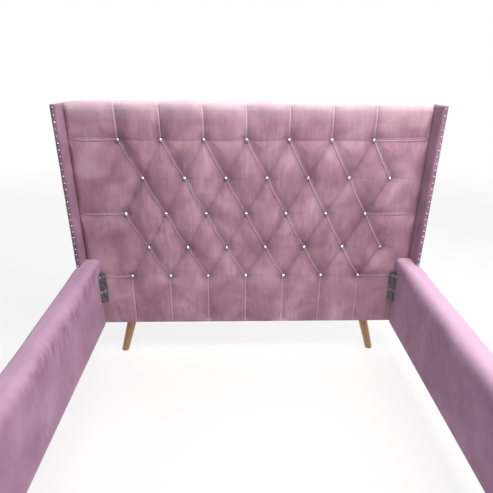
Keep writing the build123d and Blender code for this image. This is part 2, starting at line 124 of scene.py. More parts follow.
def add_mesh(name, points, faces, smooth=True, **fields):
    """Object from points in millimetres and faces. A field is a number or a vector at every point."""
    mesh = bpy.data.meshes.new(name)
    mesh.from_pydata((np.asarray(points) * MM).tolist(), [], faces)
    for key, values in fields.items():
        values = np.asarray(values, dtype=np.float32)
        kind, slot = ("FLOAT", "value") if values.ndim == 1 else ("FLOAT_VECTOR", "vector")
        mesh.attributes.new(key, kind, "POINT").data.foreach_set(slot, values.ravel())
    mesh.polygons.foreach_set("use_smooth", np.full(len(mesh.polygons), smooth))
    mesh.validate()
    piece = bpy.data.objects.new(name, mesh)
    bpy.context.scene.collection.objects.link(piece)
    return piece


def grid_faces(rows, columns, wrap=False, start=0, flip=False):
    """Four-sided faces of a grid of points, row by row; wrap joins the last column to the first."""
    i, j = np.meshgrid(np.arange(rows - 1), np.arange(columns if wrap else columns - 1), indexing="ij")
    after = (j + 1) % columns
    here, above = i * columns, (i + 1) * columns
    quads = np.stack([here + j, here + after, above + after, above + j], -1)
    quads = quads.reshape(-1, 4) + start
    return (quads[:, ::-1] if flip else quads).tolist()


def swept_faces(stations, around):
    """Faces of a closed section carried along stations, with a flat face over each end."""
    ends = [list(range(around))[::-1], list(range((stations - 1) * around, stations * around))]
    return grid_faces(stations, around, wrap=True) + ends


def outward(points, faces):
    """The faces, turned over if they enclose a negative volume."""
    quads = np.array([f for f in faces if len(f) == 4])
    a, b, c, d = (points[quads[:, k]] for k in range(4))
    volume = np.einsum("ij,ij->", np.cross(a, b), c) + np.einsum("ij,ij->", np.cross(a, c), d)
    return faces if volume > 0 else [f[::-1] for f in faces]


def finish(piece, material, slot, *nodes):
    """Gives a piece its material, hangs it under the root's empty, and hides the CAD nodes it stands for."""
    piece.data.materials.append(material)
    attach(piece, "root")
    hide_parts(*nodes)
    return piece


def arc(centre, radius, start, end, count):
    """Points on an arc and its outward directions, from one angle to another in degrees."""
    turn = np.radians(np.linspace(start, end, count))
    facing = np.stack([np.cos(turn), np.sin(turn)], -1)
    return np.array(centre) + radius * facing, facing


def straight(start, end, facing, count):
    """Points on a straight line, all with one outward direction."""
    share = np.linspace(0, 1, count)[:, None]
    return np.array(start) * (1 - share) + np.array(end) * share, np.repeat([facing], count, 0).astype(float)


def join_runs(runs):
    """One outline from several runs of points and directions, without the doubled points between them."""
    points = np.concatenate([run[0] for run in runs])
    facing = np.concatenate([run[1] for run in runs])
    step = np.linalg.norm(np.diff(points, axis=0), axis=1)
    keep = np.concatenate([[True], step > 0.05])
    return points[keep], facing[keep]


def lengths(points):
    """How far along an outline each of its points is."""
    return np.concatenate([[0], np.cumsum(np.linalg.norm(np.diff(points, axis=0), axis=1))])


wave_count = 12
wave_scale = 8.0


def swell(a, b, size, seed):
    """Gentle unevenness of padding: a sum of waves in all directions, of about one wavelength, around 0."""
    rng = np.random.default_rng(seed)
    total = 0
    for index in range(wave_count):
        turn, phase = np.pi * (index + rng.uniform(0, 1)) / wave_count, rng.uniform(0, 2 * np.pi)
        length = size * rng.uniform(0.7, 1.5)
        total = total + np.sin(2 * np.pi * (a * math.cos(turn) + b * math.sin(turn)) / length + phase)
    return total / wave_scale


def smooth_step(value, low, high):
    """Rises from 0 to 1 between two limits, level at both."""
    share = np.clip((value - low) / (high - low), 0, 1)
    return share * share * (3 - 2 * share)


def window(value, low, high, edge):
    """1 between two limits, falling softly to 0 outside them."""
    return smooth_step(value, low - edge, low) * (1 - smooth_step(value, high, high + edge))


# Tufted padding

# Wells of the buttons, the small folds gathered in them, and the strained cloth beside them
well_reach = 84.0
well_floor = 7.0
well_ease = 2.6
gather_height = 0.9
gather_count = 9
gather_ring = 19.0
gather_width = 9.0
strain_height = 2.0
strain_width = 4.2
strain_wander = 3.0

# Swells of the full cloth between the creases, and how the top's corners are drawn in
full_cloth_depth = 14.0
cloth_sink = 1.3
cloth_swell = 1.2
corner_drop = 5.0
corner_reach = 95.0

# Creases between the buttons, and the pleats in some of them
line_width = 3.6
crease_middle = 15.0
crease_end = 19.0
border_depth = 15.0
trench_depth = 5.0
trench_width = 8.0
pleat_bow = -5.0
top_pleat_bow = 3.0
side_pleat_bow = -3.0
top_pleat_lean = -6.0
top_end = top + 34.0
upright_pleat_height = 0.38
side_pleat_height = 1.1


def crease_list():
    """Every crease: its ends, its share of the full depth, its sideways bow, its pleat's side and height.

    Diagonals run from button to button, uprights to the top and foot, and level ones to the sides. A pleat's
    side is 1 or -1, left or right of the way from start to end, or 0 where there is no pleat.
    """
    creases = []
    for row in range(tuft_rows - 1):
        shift = row % 2
        for i in range(tuft_columns):
            here = button(row, i)
            if i + shift < tuft_columns:
                creases.append((here, button(row + 1, i + shift), 1.0, pleat_bow, 1, 1.0))
            if i + shift >= 1:
                creases.append((here, button(row + 1, i + shift - 1), 0.9, 0.0, 0, 0.0))
    for i in range(tuft_columns):
        high, low = button(0, i), button(tuft_rows - 1, i)
        creases.append(((high[0] + top_pleat_lean, top_end), high, 0.9, top_pleat_bow, -1,
                        upright_pleat_height))
        creases.append((low, (low[0], ground - 20), 0.6, 0.0, -1, upright_pleat_height))
        if i + 1 < tuft_columns:
            creases.append((high, button(0, i + 1), 0.45, -2.0, 0, 0.0))
    side = pad_high[0]
    for row in range(0, tuft_rows, 2):
        left, right = button(row, 0), button(row, tuft_columns - 1)
        creases.append(((-side, left[1] + 2), left, 0.75, side_pleat_bow, 1, side_pleat_height))
        creases.append((right, (side, right[1] + 2), 0.75, side_pleat_bow, 1, side_pleat_height))
    return creases


CREASES = crease_list()


def beside_crease(x, s, start, end, bow):
    """Distance across a bowed crease, share along it, and distance past its ends or away from it."""
    run = np.array(end) - np.array(start)
    length = math.hypot(*run)
    along = ((x - start[0]) * run[0] + (s - start[1]) * run[1]) / length ** 2
    inside = np.clip(along, 0, 1)
    across = ((s - start[1]) * run[0] - (x - start[0]) * run[1]) / length - bow * np.sin(np.pi * inside)
    return across, inside, np.hypot(across, (along - inside) * length)


def valley_depth(x, s):
    """Depth of the creases: each eases out as the square of what is left of its width, deeper at its ends."""
    deepest = np.zeros(x.shape)
    for start, end, share, bow, side, height in CREASES:
        across, inside, away = beside_crease(x, s, start, end, bow)
        floor = share * (crease_middle + (crease_end - crease_middle) * np.abs(2 * inside - 1) ** 3)
        deepest = np.maximum(deepest, floor * np.clip(1 - away / crown_width, 0, 1) ** 2)
    edge = np.clip(1 - (pad_high[0] - np.abs(x)) / border_width, 0, 1) ** 2
    return np.maximum(deepest, border_depth * edge)


def trench(x, s):
    """Narrow hollow under every pleat, which the pleat's own cloth covers."""
    deepest = np.zeros(x.shape)
    for start, end, share, bow, side, height in CREASES:
        if side:
            across, inside, away = beside_crease(x, s, start, end, bow)
            fade = np.sin(np.pi * inside) ** 0.25
            deepest = np.maximum(deepest, trench_depth * fade * np.exp(-(away / trench_width) ** 2))
    return deepest


def line_shade(x, s):
    """Painted shade along the creases that have no pleat: a bell curve about 7 mm wide, faint near the ends.
    """
    darkest = np.zeros(x.shape)
    for start, end, share, bow, side, height in CREASES:
        if not side:
            across, inside, away = beside_crease(x, s, start, end, bow)
            line = np.sin(np.pi * inside) ** 0.5 * np.exp(-(away / line_width) ** 2)
            darkest = np.maximum(darkest, share * line)
    return -0.5 * darkest - 0.12 * np.clip(strain_depth(x, s), 0, 2)


def well_depth(x, s):
    """Depth of the well round each button: level under it, then easing out as a power of what is left.

    The cloth is gathered there in small folds, a wave round the button on a bell curve of its distance.
    """
    deepest = np.zeros(x.shape)
    for index, (bx, bz) in enumerate(BUTTONS):
        dx, ds = x - bx, s - bz
        away = np.hypot(dx, ds)
        ring = gather_height * np.exp(-((away - gather_ring) / gather_width) ** 2)
        folds = ring * np.cos(gather_count * np.arctan2(ds, dx) + index)
        slope = (button_seat + 0.5) * np.clip(1 - (away - well_floor) / well_reach, 0, 1) ** well_ease
        deepest = np.maximum(deepest, slope + folds * (slope > 0))
    return deepest


def strain_depth(x, s):
    """Faint level creases where cloth is drawn tight along a row: bell curves, fading away from a button."""
    total = np.zeros(x.shape)
    for index, (bx, bz) in enumerate(BUTTONS):
        along = (x - bx) / button_pitch
        wander = strain_wander * np.sin(2 * np.pi * along + index)
        reach = np.where(along > 0, np.exp(-along / 0.45), np.exp(along / 0.22)) * (np.abs(along) < 1)
        total = np.maximum(total, strain_height * reach * np.exp(-((s - bz - wander) / strain_width) ** 2))
    return total


def tuft_depth(x, s):
    """Depth of the padding's surface behind its fullest plane.

    What the creases and the wells leave of the cloth's height is multiplied, so that neither goes deeper than
    the button's seat, and slight swells are added.
    """
    deepest = button_seat + 1.0
    left = (1 - valley_depth(x, s) / deepest) * (1 - np.clip(well_depth(x, s), 0, deepest) / deepest)
    both = deepest * (1 - left)
    fullness = np.clip(1 - both / full_cloth_depth, 0, 1)
    uneven = fullness * (cloth_sink + cloth_swell * swell(x, s, 150, 4))
    uneven = uneven + strain_depth(x, s) * np.clip(2 * left, 0, 1)
    return np.minimum(both + uneven, deepest)


def pad_outline(step):
    """Side outline of the padding, clockwise from the panel's foot, and its length unrolled up the front.

    The last value is how much of the tufting each place takes: none on the back, and little near the edges.
    """
    front_low, front_high = ground + lower_roll, top - top_roll
    back = pad_depth + panel_and_frame + seam_gap
    crown = (top_roll + 4, top)
    rear = (back - back_roll, top - top_fall)
    turn = math.degrees(math.atan2(top_fall, rear[0] - crown[0]))
    runs = [
        straight((pad_depth, ground), (lower_roll, ground), (0, -1), 6),
        arc((lower_roll, front_low), lower_roll, -90, -180, 9),
        straight((0, front_low), (0, front_high), (-1, 0), int((front_high - front_low) / step)),
        arc((top_roll, front_high), top_roll, 180, 90, 20),
        straight(crown, rear, (math.sin(math.radians(turn)), math.cos(math.radians(turn))), 14),
        arc((back - back_roll, top - top_fall - back_roll), back_roll, 90 - turn, 0, 7),
        straight((back, top - top_fall - back_roll), (back, top - lip_thickness - 10), (1, 0), 3),
        straight((back, top - lip_thickness - 10), (pad_depth, top - lip_thickness - 10), (0, -1), 3),
        straight((pad_depth, top - lip_thickness - 10), (pad_depth, ground + seam_gap), (1, 0), 3),
    ]
    points, facing = join_runs(runs)
    length = lengths(points)
    first = np.argmax(np.isclose(points[:, 0], 0) & (points[:, 1] >= front_low - 0.01))
    height = length - length[first] + points[first, 1]
    last_soft = height[np.argmax(points[:, 0] >= back - 0.01)]
    hold = window(height, ground + 25, last_soft - 60, 30)
    hold = np.maximum(hold, 0.45 * window(height, ground + 12, last_soft - 12, 12))
    return points, facing, height, hold


OUTLINE = pad_outline(3.4)


def pad_surface(x, s, lift=0.0, under=0.0):
    """Points of the tufted surface at X and unrolled height, raised by a lift along the outline's direction.

    The outline is read at each height and pushed in by the tufts' depth. The top's corners are drawn in.
    """
    points, facing, height, hold = OUTLINE
    y, z, fy, fz, weight = (np.interp(s, height, values) for values in
                            (points[:, 0], points[:, 1], facing[:, 0], facing[:, 1], hold))
    corner = corner_drop * smooth_step(np.abs(x), pad_high[0] - corner_reach, pad_high[0])
    corner = corner * smooth_step(fz, 0.0, 1.0)
    weight = weight * (1 - 0.8 * smooth_step(fz, 0.3, 0.95))
    depth = (tuft_depth(x, s) + under) * weight + corner - lift
    return np.stack([x, crown_y + y - fy * depth, z - fz * depth], -1), depth


def tufted_pad():
    """Padding as one grid: columns across the bed, rows round its side outline."""
    height = OUTLINE[2]
    side = pad_high[0]
    x, s = np.meshgrid(np.linspace(-side, side, 480), height)
    points, depth = pad_surface(x, s, under=trench(x, s))
    points = points.transpose(1, 0, 2).reshape(-1, 3)
    faces = outward(points, swept_faces(x.shape[1], x.shape[0]))
    return points, faces, depth.T.ravel(), line_shade(x, s).T.ravel()


# A pleat in section, from its slit's far side over its lip: distance across the crease, height over the
# padding, and how much painted highlight, above 0, and painted shade, below 0, it gets
PLEAT = np.array([
    (-17.0, -0.9, 0.0), (-12.0, 0.1, 0.0), (-8.5, 0.3, 0.0), (-5.0, 0.1, -0.2), (-3.2, -0.7, -0.8),
    (-2.4, -1.4, -1.0), (-1.9, -1.8, -1.0), (-1.6, -1.1, -0.8), (-1.5, -0.2, 0.0), (-1.0, 1.3, 0.7),
    (0.2, 2.4, 1.0), (1.8, 2.7, 0.9), (3.6, 2.5, 0.4), (6.0, 2.0, 0.1), (9.5, 1.2, 0.0), (13.5, 0.4, 0.0),
    (19.0, -0.9, 0.0)])


def pleat(start, end, bow, side, height):
    """Folded cloth: its section, a slit with a lip beside it, goes along the crease and sinks at its ends."""
    run = np.array(end) - np.array(start)
    length = math.hypot(*run)
    across = np.array([-run[1], run[0]]) / length
    share = np.linspace(0.02, 0.98, max(8, int(length / 5)))[:, None]
    fade = np.sin(np.pi * share) ** 0.4
    n = PLEAT[None, :, 0] * side + bow * np.sin(np.pi * share)
    x = start[0] + run[0] * share + across[0] * n
    s = start[1] + run[1] * share + across[1] * n
    lift = PLEAT[None, :, 1] * np.where(np.abs(PLEAT[:, 0]) > 16, 1, fade * height)
    points, depth = pad_surface(x, s, lift)
    # The section's third column, faded and scaled, gives the painted highlight on the lip and painted shade
    # in the slit.
    return points, PLEAT[None, :, 2] * fade * height, depth


def headboard_padding():
    """The tufted grid and its pleats in one mesh, with fields for depth and painted highlight and shade."""
    points, faces, depth, fold = tufted_pad()
    side_x = pad_high[0] - 2
    for start, end, share, bow, side, height in CREASES:
        if not side:
            continue
        strip, shade, strip_depth = pleat(start, end, bow, side, height)
        strip = strip.reshape(-1, 3)
        strip[:, 0] = np.clip(strip[:, 0], -side_x, side_x)
        first = np.array(grid_faces(*shade.shape))
        a, b, c = strip[first[len(first) // 2][:3]]
        if np.cross(b - a, c - a)[1] > 0:
            first = first[:, ::-1]
        faces += (first + len(points)).tolist()
        points = np.concatenate([points, strip])
        depth = np.concatenate([depth, strip_depth.ravel()])
        fold = np.concatenate([fold, shade.ravel()])
    return points, faces, depth, fold


# Other padded boards

def rounded_ends(positions, low, high, roll):
    """How far a section draws in at each station, so that both ends of a bar are rounded."""
    near = np.minimum(positions - low, high - positions)
    left = np.clip(roll - near, 0, roll)
    return roll - np.sqrt(np.maximum(roll ** 2 - left ** 2, 0))


def drawn_in(out, level, facing, draw):
    """A board's section at its rounded ends: its sides come in, its top comes down and its foot stays."""
    half = rail_thickness / 2
    return out - (out - half) / half * draw, level - np.maximum(facing[..., 1], 0) * draw


def stations(low, high, roll, step):
    """Stations along a bar: close together over the rounded ends, evenly spaced between them."""
    turn = np.linspace(0, np.pi / 2, 7)
    ease = roll * (1 - np.cos(turn))
    middle = np.linspace(low + roll, high - roll, max(3, int((high - low) / step)))[1:-1]
    return np.concatenate([low + ease, middle, (high - ease)[::-1]])


def spread(count, kept, around=False):
    """Table that carries values from the kept points of a line, or of a ring, to all its points.

    Multiplied with the kept values, it gives each point the mean of its two neighbours, weighted by nearness.
    """
    period = count if around else None
    return np.stack([np.interp(np.arange(count), kept, one, period=period) for one in np.eye(len(kept))], 1)


def swollen(grid, held):
    """How far each point of a padded cover moves when it swells, from a cloth simulation.

    A copy with every second row and column is blown up for 20 frames, without gravity, held where the cloth
    is stapled, pressed or nipped. Its moves ease off towards a cap, and are spread over the full grid.
    """
    rows, columns = np.arange(0, grid.shape[0], 2), np.arange(0, grid.shape[1], 2)
    rows[-1] = grid.shape[0] - 1
    coarse = grid[np.ix_(rows, columns)].reshape(-1, 3)
    cover = add_mesh("swelling_cover", coarse, outward(coarse, swept_faces(len(rows), len(columns))))
    pinned = np.flatnonzero(held[np.ix_(rows, columns)])
    cover.vertex_groups.new(name="held").add(pinned.tolist(), 1.0, "REPLACE")
    cloth = cover.modifiers.new("swelling", "CLOTH")
    velvet_cloth = {"quality": 5, "mass": 0.3, "tension_stiffness": 15, "compression_stiffness": 15,
                    "shear_stiffness": 5, "bending_stiffness": 0.5, "use_pressure": True,
                    "uniform_pressure_force": swell_pressure, "vertex_group_mass": "held"}
    for key, value in velvet_cloth.items():
        setattr(cloth.settings, key, value)
    cloth.settings.effector_weights.gravity = 0
    cloth.collision_settings.use_collision = False
    cloth.point_cache.frame_start, cloth.point_cache.frame_end = 1, swell_frames
    for frame_number in range(1, swell_frames + 1):
        bpy.context.scene.frame_set(frame_number)
    blown = cover.evaluated_get(bpy.context.evaluated_depsgraph_get()).to_mesh()
    places = np.empty(len(coarse) * 3, dtype=np.float32)
    blown.vertices.foreach_get("co", places)
    bpy.data.objects.remove(cover)
    bpy.context.scene.frame_set(1)
    moves = places.reshape(-1, 3) / MM - coarse
    size = np.linalg.norm(moves, axis=1, keepdims=True)
    moves = moves * swell_cap * np.tanh(size / swell_cap) / np.maximum(size, 1e-6)
    moves = moves.reshape(len(rows), len(columns), 3)
    along, round_it = spread(grid.shape[0], rows), spread(grid.shape[1], columns, around=True)
    return np.einsum("ri,ijk,cj->rck", along, moves, round_it)


dimple_depth = 1.6
dimple_width = 6.5
wing_swell = 0.5


def wing_outline():
    """Section of the right wing from above: rounded in front, square at the back."""
    x0, x1, y0, y1 = wing_low[0], wing_high[0], wing_low[1], wing_high[1]
    r = wing_edge_roll
    runs = [
        straight((x0, y1), (x0, y0 + r), (-1, 0), 34),
        arc((x0 + r, y0 + r), r, 180, 270, 9),
        straight((x0 + r, y0), (x1 - r, y0), (0, -1), 7),
        arc((x1 - r, y0 + r), r, 270, 360, 9),
        straight((x1, y0 + r), (x1, y1), (1, 0), 34),
        straight((x1, y1), (x0 + 1, y1), (0, 1), 5),
    ]
    return join_runs(runs)


def stud_heights():
    """Heights of a wing's studs, evenly spaced from its top down."""
    count = int((wing_high[2] - wing_low[2] - 2 * stud_end_gap) / stud_pitch)
    return wing_high[2] - stud_end_gap - np.arange(count + 1) * stud_pitch


def wing_padding(side):
    """Wing cover: its section carried up, drawn in at the top and foot, and dimpled at every stud.

    Towards the top, each point's height is scaled so that the top falls in a straight line to the back.
    """
    outline, facing = wing_outline()
    z = stations(wing_low[2], wing_high[2], wing_end_roll, 3.4)
    draw = rounded_ends(z, wing_low[2], wing_high[2], wing_end_roll)
    x, level = np.meshgrid(outline[:, 0], z)
    y = np.broadcast_to(outline[:, 1], x.shape)
    middle = (wing_low[0] + wing_high[0]) / 2
    studs = stud_heights()
    away = np.abs(level[..., None] - studs).min(-1)
    dimple = dimple_depth * np.exp(-(np.hypot(away, x - middle) / dimple_width) ** 2)
    dimple = dimple * (facing[None, :, 1] < -0.5)
    flanks = (np.abs(facing[None, :, 1]) < 0.5) * (1 - smooth_step(y, wing_high[1] - 20, wing_high[1] - 5))
    shift = wing_swell * swell(y, level, 110, 11) * flanks - draw[:, None] - dimple
    fall = wing_fall * (y - wing_low[1]) / (wing_high[1] - wing_low[1])
    level = level - fall * (level - wing_low[2]) / (wing_high[2] - wing_low[2])
    points = np.stack([x + facing[:, 0] * shift, y + facing[:, 1] * shift, level], -1).reshape(-1, 3)
    points[:, 0] *= side
    return points, outward(points, swept_faces(len(z), len(outline)))


def rail_outline(inner_roll):
    """Section of a rail: distance outwards from its inner foot, and height over its underside."""
    height = rail_high[2] - rail_low[2]
    t, lean = rail_thickness, rail_lean
    tilt = math.degrees(math.atan2(lean, height))
    r1, r2 = inner_roll, outer_top_roll
    inward = np.array([-math.cos(math.radians(tilt)), -math.sin(math.radians(tilt))])
    foot = np.array([0.0, 0.0])
    up = np.array([-lean, height]) / math.hypot(lean, height)
    centre_z = height - r1
    centre_x = (foot + up * (centre_z / up[1]))[0] + r1 / math.cos(math.radians(tilt))
    centre = np.array([centre_x, centre_z])
    runs = [
        straight(foot, centre + inward * r1, inward, 44),
        arc(centre, r1, 180 + tilt, 90, 15),
        straight((centre[0], height), (t - r2, height), (0, 1), 5),
        arc((t - r2, height - r2), r2, 90, 0, 10),
        straight((t, height - r2), (t, 0), (1, 0), 44),
        straight((t, 0), (t - 12, 0), (0, -1), 3),
        straight((t - 12, 2), (12, 2), (0, -1), 4),
        straight((12, 0), (1, 0), (0, -1), 3),
    ]
    return join_runs(runs)


# Where the brackets' leaves press the covers, and where the covers are stapled
bracket_low = 358.0
bracket_high = 515.0
board_leaf = 30.0
rail_leaf = 34.0
leaf_seat = 5.2
leaf_ease = 9.0
pull_length = 260.0
stapled_strip = 14.0
firm_height = 12.0
slack_height = 60.0
wide_swell = 1.4
small_swell = 0.5


def board_swells(along, around, seed):
    """Unevenness of a board's cover: waves about 260 mm across, and smaller ones about 90 mm across."""
    wide = wide_swell * swell(along, np.broadcast_to(around, along.shape), 260, seed)
    return wide + small_swell * swell(along, around[None, :] * 1.3, 90, seed + 1)


def rail_padding(side):
    """Side rail: its section carried along Y, nipped behind the wing and pressed flat by each bracket's leaf.

    Towards the headboard the section blends into one with a tighter inner roll, as the cloth is pulled over.
    """
    full, full_facing = rail_outline(inner_top_roll)
    tight, tight_facing = rail_outline(end_top_roll)
    inner_x = rail_high[0] - rail_thickness
    near, far = rail_low[1], rail_high[1]
    y = stations(near, far, 4.0, 9.0)
    draw = rounded_ends(y, near, far, 4.0)
    pulled = smooth_step(y, far - pull_length, far - 20)[:, None, None]
    outline = full * (1 - pulled) + tight * pulled
    facing = full_facing * (1 - pulled) + tight_facing * pulled
    facing = facing / np.linalg.norm(facing, axis=-1, keepdims=True)
    out, level = outline[..., 0], outline[..., 1]
    yy = np.broadcast_to(y[:, None], out.shape)
    zz = level + rail_low[2]
    around = lengths(full)
    free = window(yy, near + 25, far - 25, 25) * (np.abs(facing[..., 1]) < 0.97) * (level > firm_height)
    soft = board_swells(yy, around, 21) * free
    leaves = window(yy, near, near + rail_leaf, leaf_ease) + window(yy, far - rail_leaf, far, leaf_ease)
    pressed = leaves * window(zz, bracket_low, bracket_high, leaf_ease) * (facing[..., 0] < -0.9)
    shift = soft * (1 - pressed)
    out, zz = drawn_in(out, zz, facing, draw[:, None])
    x = inner_x + out + facing[..., 0] * shift
    x = np.where(pressed > 0, x * (1 - pressed) + np.maximum(x, inner_x - leaf_seat + seam_gap) * pressed, x)
    z = zz + facing[..., 1] * shift
    squeezed = wing_low[0] - seam_gap
    front = wing_low[1] - 5.0
    limit = squeezed + (rail_high[0] - squeezed) * (1 - smooth_step(yy, front - nip_taper, front))
    x = np.minimum(x, limit + np.where(yy < front - nip_taper, 5.0, 0.0))
    loose = window(yy, near + 80, far - 80, 60) * smooth_step(level, firm_height, slack_height)
    beside_wing = smooth_step(yy, wing_low[1] - 160, wing_low[1] - 60) * smooth_step(facing[..., 0], 0, 0.3)
    loose = loose * (1 - beside_wing)
    x, z = x - facing[..., 0] * loose * slack, z - facing[..., 1] * loose * slack
    points = np.stack([x * side, yy, z], -1)
    nipped = (yy > wing_low[1] - 60) & (facing[..., 0] > 0.3)
    held = (level < stapled_strip) | (yy < near + 10) | (yy > far - 25) | (pressed > 0.02) | nipped
    points = (points + swollen(points, held)).reshape(-1, 3)
    faces = outward(points, swept_faces(*out.shape))
    # The right rail gets fewer finger marks and a stronger painted highlight on its top than the left.
    return points, faces, nap_place(yy, around, 0.6 - 0.4 * side), pressed.ravel()


def nap_place(along, around, finger_marks_and_dim_highlight):
    """Place on a board's cover for its nap: along the board, and round its section from the top's middle.

    Both are in metres. The third number, from 0 to 1, is how strongly hands have left finger marks on it;
    the more marks, the weaker and more ragged the painted highlight along the top.
    """
    middle = around[np.argmax(rail_outline(inner_top_roll)[0][:, 1])] + 12.0
    down = np.broadcast_to(middle - around, along.shape)
    return np.stack([along * MM, down * MM, np.full(along.shape, finger_marks_and_dim_highlight)], -1).reshape(-1, 3)


def footboard_padding():
    """Low footboard: the rails' section carried along X, pressed flat where rails and brackets meet it."""
    outline, facing = rail_outline(inner_top_roll)
    foot_y = foot_low[1] + rail_thickness
    near, far = foot_low[0], foot_high[0]
    x = stations(near, far, 15.0, 9.0)
    draw = rounded_ends(x, near, far, 15.0)
    xx, zz = np.meshgrid(x, outline[:, 1] + foot_low[2], indexing="ij")
    around = lengths(outline)
    level = outline[:, 1]
    free = window(xx, near + 30, far - 30, 30) * (np.abs(facing[:, 1]) < 0.97) * (level > firm_height)
    soft = board_swells(xx, around, 31) * free
    inner_x = rail_high[0] - rail_thickness
    out, zz = drawn_in(outline[None, :, 0], zz, facing[None], draw[:, None])
    y = foot_y - out - facing[None, :, 0] * soft
    z = zz + facing[None, :, 1] * soft
    ends = smooth_step(np.abs(xx), inner_x - rail_lean - 8, inner_x - rail_lean) * (facing[:, 0] < 0.5)
    y = np.where(ends > 0, y * (1 - ends) + np.minimum(y, foot_y - seam_gap) * ends, y)
    leaf = window(np.abs(xx), inner_x - leaf_seat - board_leaf, inner_x, leaf_ease) * (facing[:, 0] < -0.9)
    leaf = leaf * window(zz, bracket_low, bracket_high, leaf_ease)
    y = np.where(leaf > 0, y * (1 - leaf) + np.minimum(y, foot_y + leaf_seat - seam_gap) * leaf, y)
    loose = window(xx, near + 60, far - 60, 60) * smooth_step(level, firm_height, slack_height)
    seated = (np.abs(xx) > inner_x - rail_lean - 20) & (facing[:, 0] < -0.2)
    beside_rail = smooth_step(np.abs(xx), inner_x - 120, inner_x - 40) * smooth_step(-facing[:, 0], 0, 0.5)
    loose = loose * (1 - beside_rail)
    y, z = y + facing[:, 0] * loose * slack, z - facing[:, 1] * loose * slack
    points = np.stack([xx, y, z], -1)
    held = (level < stapled_strip) | (np.abs(xx) > far - 20) | seated | (leaf > 0.02)
    points = (points + swollen(points, held)).reshape(-1, 3)
    faces = outward(points, swept_faces(*xx.shape))
    return points, faces, nap_place(xx, around, 0.5), leaf.ravel()


# Legs, crystals and hardware

leg_top_x = 630.0
leg_foot_x = 692.0
leg_top_radius = 24.0
leg_foot_radius = 18.5
leg_height = 214.0
sole_ease = 5.0


def turned_leg(side, y):
    """Splayed leg: a circle carried down a slanted line, wider at the top, with an eased edge at its sole."""
    above_sole = np.linspace(sole_ease, leg_height - 1.5, 26)[1:]
    z = np.concatenate([np.linspace(0, sole_ease, 7), above_sole, [leg_height]])
    radius = leg_foot_radius + (leg_top_radius - leg_foot_radius) * z / leg_height
    ease = np.clip(sole_ease - z, 0, sole_ease)
    radius = radius - (sole_ease - np.sqrt(sole_ease ** 2 - ease ** 2)) * 0.9
    radius[-1] -= 0.8
    stretch = math.hypot(leg_foot_x - leg_top_x, leg_height) / leg_height
    turn = np.linspace(0, 2 * np.pi, 48, endpoint=False)
    centre = leg_foot_x - (leg_foot_x - leg_top_x) * z / leg_height
    across = radius[:, None] * np.cos(turn)
    along = radius[:, None] * np.sin(turn)
    level = np.broadcast_to(z[:, None], across.shape)
    points = np.stack([side * (centre[:, None] + across * stretch), y + along, level], -1).reshape(-1, 3)
    grain = np.stack([across + 40 * side, along + y * 0.1, level * stretch], -1).reshape(-1, 3) * MM
    return points, outward(points, swept_faces(len(z), len(turn))), grain


def ring_points(rings):
    """Corners of rings given as distance towards the foot, radius, corner count and turn."""
    points = []
    for distance, radius, count, turn in rings:
        angle = 2 * np.pi * (np.arange(count) + turn) / count
        ring = [radius * np.cos(angle), np.full(count, -distance), radius * np.sin(angle)]
        points.append(np.stack(ring, -1))
    return np.concatenate(points)


def cut_crystal(radius, depth):
    """Brilliant-cut stone: a table, eight kite facets, a ring of sixteen small ones and a thin girdle."""
    count = 8
    rings = [(0, radius, 16, 0), (0.22 * depth, radius, 16, 0), (0.62 * depth, 0.80 * radius, count, 0.5),
             (depth, 0.52 * radius, count, 0)]
    points = ring_points(rings)
    girdle, kite, table = 16, 32, 40
    faces = [list(range(16))]
    for i in range(16):
        j = (i + 1) % 16
        faces.append([i, j, girdle + j, girdle + i])
    for i in range(count):
        a, b, c = 2 * i, (2 * i + 1) % 16, (2 * i + 2) % 16
        after = (i + 1) % count
        faces += [[girdle + a, girdle + b, kite + i], [girdle + b, girdle + c, kite + i],
                  [kite + i, girdle + c, kite + after], [kite + i, kite + after, table + after],
                  [table + i, kite + i, table + after]]
    faces.append([table + i for i in range(count)][::-1])
    return points, faces


def lathe(outline, sides):
    """Turned piece round the Y axis: points given as distance towards the foot and radius."""
    turn = np.linspace(0, 2 * np.pi, sides, endpoint=False)
    d, r = np.array(outline).T
    points = np.stack([r[:, None] * np.cos(turn), -d[:, None] + 0 * turn, r[:, None] * np.sin(turn)], -1)
    return points.reshape(-1, 3), swept_faces(len(outline), sides)


def scattered(shape, places, turns=None):
    """One mesh with a copy of a small shape at every place, each turned about the Y axis."""
    points, faces = shape
    all_points, all_faces = [], []
    for index, place in enumerate(places):
        angle = 0 if turns is None else turns[index]
        c, s = math.cos(angle), math.sin(angle)
        turned = points @ np.array([[c, 0, s], [0, 1, 0], [-s, 0, c]])
        all_points.append(turned + np.array(place))
        all_faces += [[v + index * len(points) for v in face] for face in faces]
    return np.concatenate(all_points), all_faces


def recalculated(piece):
    """The same piece with its faces all turned outwards."""
    mesh = bmesh.new()
    mesh.from_mesh(piece.data)
    bmesh.ops.recalc_face_normals(mesh, faces=mesh.faces)
    mesh.to_mesh(piece.data)
    mesh.free()
    return piece


# Materials

def linear(code):
    """sRGB hex colour as linear RGBA."""
    values = [int(code[i:i + 2], 16) / 255 for i in (1, 3, 5)]
    return [v / 12.92 if v <= 0.04045 else ((v + 0.055) / 1.055) ** 2.4 for v in values] + [1.0]


